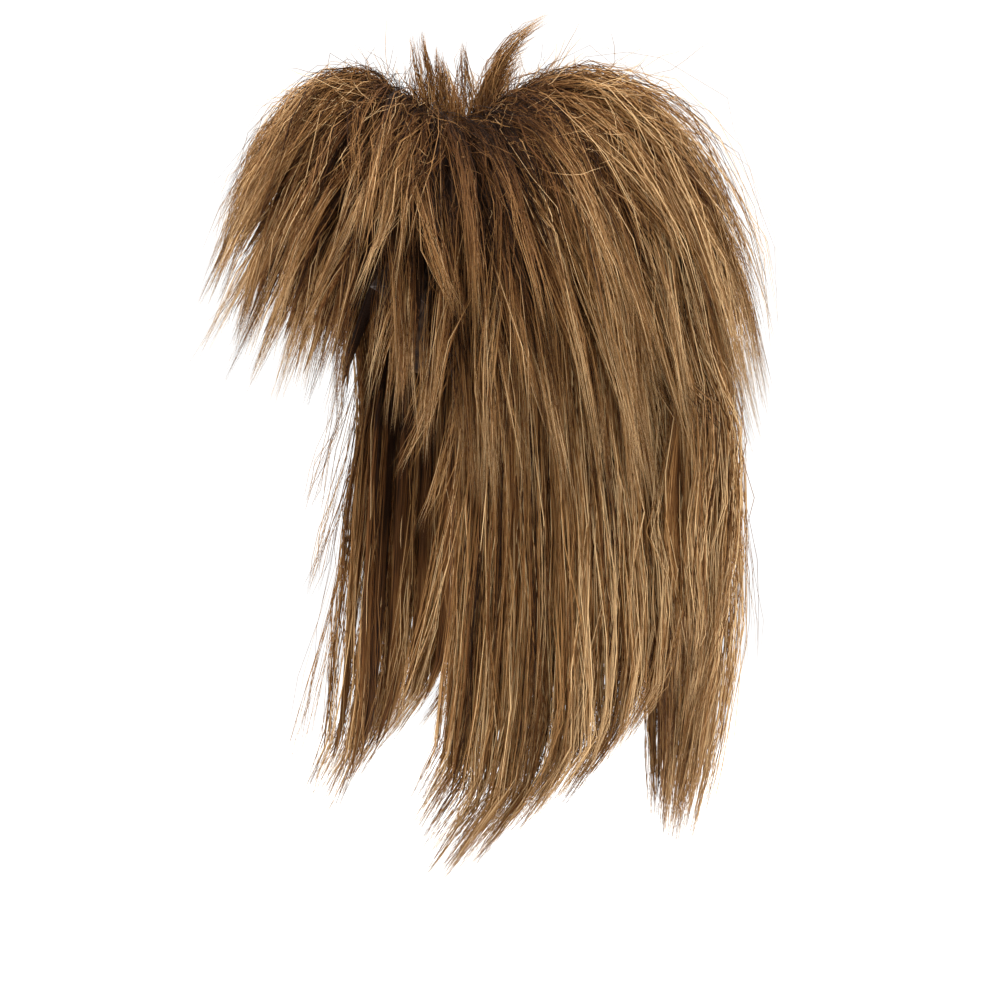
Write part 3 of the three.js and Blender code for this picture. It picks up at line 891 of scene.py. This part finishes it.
def longStrands(name):
    piece = longPieces[name]
    rng = np.random.default_rng(piece["seed"])
    locks = piece["locks"]
    isNape = name == "nape_length"
    fall, tips = (napeFall, napeTips) if isNape else (sideFall, sideTips)
    standOff = longHair["standOff"]["nape" if isNape else "side"]
    deepest = -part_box(name)[0][2]
    low, high = math.radians(piece["from"]), math.radians(piece["to"])
    middle = mix(low, high, 0.5)

    def run(share, off, t, mantle):
        share = np.clip(share, -longHair["overhang"], 1 + longHair["overhang"])
        tipShare = np.interp(np.abs(share * 2 - 1) if isNape else share, tips["at"], tips[piece["tips"]])
        turn = mantleForm["turnsAt"]
        below = np.where(mantle, np.clip((t - turn) / (1 - turn), 0, None), t)
        start = np.where(mantle, longHair["mantleStart"], longHair["start"])
        depth = mix(start, tipShare * deepest, below)
        at = np.clip((depth - longHair["start"]) / (tipShare * deepest - longHair["start"]), 0, 1)
        azimuth = middle + (mix(low, high, share) - middle) * np.interp(at, fall["at"], fall["gather"])
        distance = capRadius(azimuth) + standOff * np.interp(at, fall["at"], fall["off"]) * off
        path = placed(azimuth, distance, -depth)
        if not isNape:
            sweep = piece["forward"] * np.interp(share, tips["at"], tips["sweep"])
            path[..., 1] -= standOff * sweep * np.interp(at, fall["at"], fall["forward"])
        shell = np.clip(mantleForm["shell"] + off * mantleForm["shellGrowth"], 0, 1)
        above = crownRun(azimuth, shell, np.clip(t / mantleForm["archEnd"], 0, 1))
        blend = np.where(mantle, smooth(*mantleForm["leaves"], t), 1)[..., None]
        return mix(above, path, blend)

    # The mantle's locks and those below it are each spread evenly from edge to edge
    lockMantle = np.arange(locks) < round(locks * piece["mantle"])
    lockShare = np.concatenate([
        (np.arange(number) + 0.5 + longHair["lockNoise"] * unitNoise(rng, number)) / number
        for number in (lockMantle.sum(), (~lockMantle).sum())
    ])
    mantleOff, underOff = rng.uniform(*longHair["mantleOff"], locks), rng.choice(longHair["underOff"], locks)
    lockOff = np.where(lockMantle, mantleOff, underOff)
    mantleLength, underNoise = rng.uniform(*longLength["mantle"], locks), unitNoise(rng, locks)
    lockLength = np.where(lockMantle, mantleLength, 1 + longLength["underNoise"] * underNoise)
    lockLean = longHair["lean"] * unitNoise(rng, (locks, 1))
    # A lock's tone is its piece's painted light with a random difference of its own
    lockTone = piece["tone"] + longTone["lock"] * unitNoise(rng, locks)
    # Painted shade: the locks that lie further in are darker
    lockTone = lockTone - longTone["depth"] * smooth(*longTone["shadeOff"], lockOff)
    t = np.linspace(*longBody["span"], longBody["rings"])[None, :] * lockLength[:, None]
    bodyShare = lockShare[:, None] + lockLean * (t - 0.5)
    bodies = run(bodyShare, lockOff[:, None] - longBody["inset"], t, lockMantle[:, None])
    size = rng.uniform(*lockForm["sizes"], locks)
    width, thickness = (size * longBody[key] for key in ("width", "thickness"))
    # Painted shade: the bodies are darker than the strands
    lockPiece(name + "_locks", name, bodies, width, thickness, longBody["tone"] + lockTone)
    bundles = locks * longHair["bundles"]
    bundleLock = np.arange(bundles) % locks
    bundleShare = lockShare[bundleLock] + longHair["bundleWidth"] / locks * unitNoise(rng, bundles)
    bundleOff = lockOff[bundleLock] + longHair["bundleOff"] * unitNoise(rng, bundles)
    bundleLength = rng.uniform(*longLength["bundles"], bundles)
    bundleTone = longTone["bundle"] * unitNoise(rng, bundles)
    allBundles = rng.integers(0, bundles, piece["strands"])
    isMantle = lockMantle[bundleLock[allBundles]]
    for layer, chosen in (("mantle", isMantle), ("under", ~isMantle)):
        bundle = allBundles[chosen]
        lock, count = bundleLock[bundle], len(bundle)
        share = bundleShare[bundle] + longHair["strandWidth"] / locks * unitNoise(rng, count)
        off = bundleOff[bundle] + longHair["strandOff"] * unitNoise(rng, count)
        stray = rng.random(count) < longStray["share"]
        isShort = rng.random(count) < longLength["shortShare"]
        short = np.where(isShort, rng.uniform(*longLength["short"], count), 1)
        length = lockLength[lock] * bundleLength[bundle] * short
        t = np.linspace(0, 1, longHair["points"][layer])[None, :]
        t = t ** rng.uniform(*longLength["pace"], (count, 1))
        t = t * np.clip(length, *longLength["limits"])[:, None]
        hold = np.where(stray, longGather["strayHold"], rng.uniform(*longGather["hold"], count))[:, None]
        pullSmall, pullLarge = (pullAt(longGather[key], hold, t) for key in ("bundle", "lock"))
        shareRun = drawnTo(share, bundleShare[bundle], pullSmall)
        shareRun = shareRun + (lockShare[lock] - bundleShare[bundle])[:, None] * pullLarge
        shareRun = shareRun + lockLean[lock] * (t - 0.5)
        offRun = drawnTo(off, bundleOff[bundle], pullSmall)
        offRun = offRun + (lockOff[lock] - bundleOff[bundle])[:, None] * pullLarge
        paths = run(shareRun, offRun, t, lockMantle[lock][:, None])
        wave = np.where(stray, longStray["wave"], 1.0)[:, None, None] * longHair["wave"]
        paths = paths + waves(rng, t, 1) * wave + waves(rng, t, longHair["bundleWave"], bundle)
        tone = longTone["middle"] + lockTone[lock] + bundleTone[bundle]
        tone = tone + longTone["strand"] * rng.normal(size=count)
        radius = strandRadius["long"] * rng.uniform(*strandRadius["spread"], count)
        strandPiece(f"{name}_{layer}_strands", name, paths, radius, tone, rng)


for name in longPieces:
    longStrands(name)
print("long hair grown")

# Light locks that lie over the shaded crown, and thin wisps that hang clear of the rest at the temples and
# the hairline. Each has its root, the point that its curve bends to, its tip and its number of strands.

wispHair = {
    "points": 8,
    "radius": 0.0002,
    "sizes": (0.6, 1.2),
    "wave": 0.0035,
    "spread": {"root": 0.010, "bend": 0.009, "tip": 0.006},
    "tone": 0.62,
    "lockTone": 0.64,
    "strandTone": 0.16,
    "seed": 41,
}
wisps = {
    "crown_layer_left": [
        ((0.020, -0.049, 0.050), (0.098, -0.045, 0.068), (0.126, -0.045, -0.080), 55),
        ((0.040, -0.062, 0.037), (0.122, -0.087, 0.010), (0.124, -0.056, -0.070), 45),
        ((0.018, -0.030, 0.050), (0.105, -0.022, 0.060), (0.134, 0.000, -0.090), 30),
        ((0.020, -0.014, 0.050), (0.100, 0.020, 0.075), (0.130, 0.050, -0.080), 30),
    ],
    "side_length_left": [
        ((0.080, -0.046, -0.020), (0.100, -0.056, -0.080), (0.092, -0.080, -0.142), 22),
        ((0.082, -0.040, -0.030), (0.104, -0.054, -0.100), (0.094, -0.088, -0.166), 16),
        ((0.084, -0.034, -0.040), (0.110, -0.046, -0.130), (0.098, -0.074, -0.200), 18),
        ((0.084, -0.030, -0.060), (0.114, -0.050, -0.200), (0.100, -0.096, -0.330), 16),
    ],
    "side_length_right": [
        ((-0.070, -0.070, -0.060), (-0.086, -0.088, -0.150), (-0.078, -0.108, -0.196), 16),
        ((-0.072, -0.064, -0.080), (-0.090, -0.082, -0.180), (-0.080, -0.106, -0.250), 22),
        ((-0.074, -0.060, -0.100), (-0.092, -0.084, -0.260), (-0.084, -0.120, -0.372), 20),
    ],
    "nape_length": [
        ((0.020, 0.110, -0.100), (0.022, 0.164, -0.280), (0.026, 0.104, -0.418), 14),
        ((-0.030, 0.110, -0.100), (-0.040, 0.166, -0.260), (-0.026, 0.124, -0.412), 14),
        ((0.000, 0.114, -0.080), (0.004, 0.178, -0.180), (-0.004, 0.172, -0.300), 12),
    ],
}


def wispStrands(node, rng):
    u = np.linspace(0, 1, wispHair["points"])[None, :]
    weights = [(1 - u) ** 2, 2 * u * (1 - u), u ** 2]
    isLock = node.startswith("crown")
    paths = []
    for *points, count in wisps[node]:
        steps = [
            np.array(point) + spread * unitNoise(rng, (count, 3))
            for point, spread in zip(points, wispHair["spread"].values())
        ]
        run = sum(weight[:, :, None] * step[:, None] for weight, step in zip(weights, steps))
        paths.append(run + waves(rng, u.repeat(count, 0), wispHair["wave"]))
    paths = np.concatenate(paths)
    tone = wispHair["lockTone" if isLock else "tone"] + wispHair["strandTone"] * rng.normal(size=len(paths))
    radius = wispHair["radius"] * rng.uniform(*wispHair["sizes"], len(paths))
    strandPiece(node + ("_loose_locks" if isLock else "_wisps"), node, paths, radius, tone, rng)


wispRng = np.random.default_rng(wispHair["seed"])
for name in wisps:
    wispStrands(name, wispRng)
print("wisps grown")

# The cap: the rounded net, with the rows of wefts that the hair is sewn to running round it

capWeave = {
    "mergeGap": 0.00001,
    "roundness": 2,
    "rowsPerMetre": 120,
    "unevenness": 1.5,
    "unevenScale": 4,
    "mesh": 700,
    "meshDepth": 0.8,
    "net": (0.026, 0.014, 0.008, 1),
    "weft": (0.060, 0.029, 0.012, 1),
    "roughness": 0.85,
    "relief": 0.0006,
}


def makeCapMaterial():
    material = bpy.data.materials.new("cap_net")
    material.use_nodes = True
    tree = material.node_tree
    shader = tree.nodes["Principled BSDF"]
    shader.inputs["Roughness"].default_value = capWeave["roughness"]
    place = tree.nodes.new("ShaderNodeTexCoord").outputs["Object"]
    rows = tree.nodes.new("ShaderNodeTexWave")
    rows.bands_direction = "Z"
    rows.inputs["Scale"].default_value = capWeave["rowsPerMetre"] * math.pi / 10
    rows.inputs["Distortion"].default_value = capWeave["unevenness"]
    rows.inputs["Detail Scale"].default_value = capWeave["unevenScale"]
    net = tree.nodes.new("ShaderNodeTexVoronoi")
    net.feature = "DISTANCE_TO_EDGE"
    net.inputs["Scale"].default_value = capWeave["mesh"]
    for texture in (rows, net):
        tree.links.new(place, texture.inputs["Vector"])
    colour = tree.nodes.new("ShaderNodeMix")
    colour.data_type = "RGBA"
    colour.inputs["A"].default_value = capWeave["net"]
    colour.inputs["B"].default_value = capWeave["weft"]
    tree.links.new(rows.outputs["Fac"], colour.inputs["Factor"])
    tree.links.new(colour.outputs["Result"], shader.inputs["Base Color"])
    depth = -capWeave["meshDepth"]
    height = mathNode(tree, "MULTIPLY_ADD", net.outputs["Distance"], depth, rows.outputs["Fac"])
    relief = tree.nodes.new("ShaderNodeBump")
    relief.inputs["Distance"].default_value = capWeave["relief"]
    tree.links.new(height, relief.inputs["Height"])
    tree.links.new(relief.outputs["Normal"], shader.inputs["Normal"])
    return material


def addCap():
    bpy.ops.object.select_all(action="DESELECT")
    cap = bpy.data.objects.new("wig_cap_net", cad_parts["wig_cap"].data.copy())
    bpy.context.collection.objects.link(cap)
    cap.select_set(True)
    bpy.context.view_layer.objects.active = cap
    bpy.ops.object.mode_set(mode="EDIT")
    bpy.ops.mesh.select_all(action="SELECT")
    bpy.ops.mesh.remove_doubles(threshold=capWeave["mergeGap"])
    bpy.ops.mesh.tris_convert_to_quads()
    bpy.ops.object.mode_set(mode="OBJECT")
    rounding = cap.modifiers.new("rounding", "SUBSURF")
    rounding.levels = rounding.render_levels = capWeave["roundness"]
    bpy.ops.object.modifier_apply(modifier="rounding")
    bpy.ops.object.shade_smooth()
    cap.data.materials.clear()
    cap.data.materials.append(makeCapMaterial())
    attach(cap, "root")
    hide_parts("wig_cap")


addCap()
print("cap finished")

# floor

floorSetup = {"size": 12, "height": -0.52, "colour": (0.9, 0.9, 0.9, 1), "glow": 0.75}


def addFloor():
    bpy.ops.object.select_all(action="DESELECT")
    bpy.ops.mesh.primitive_plane_add(size=floorSetup["size"], location=(0, 0, floorSetup["height"]))
    floor = bpy.context.object
    floor.name = "floor"
    material = bpy.data.materials.new("pale_floor")
    material.use_nodes = True
    shader = material.node_tree.nodes["Principled BSDF"]
    shader.inputs["Base Color"].default_value = floorSetup["colour"]
    shader.inputs["Emission Color"].default_value = floorSetup["colour"]
    shader.inputs["Emission Strength"].default_value = floorSetup["glow"]
    floor.data.materials.append(material)


addFloor()
print("floor laid")
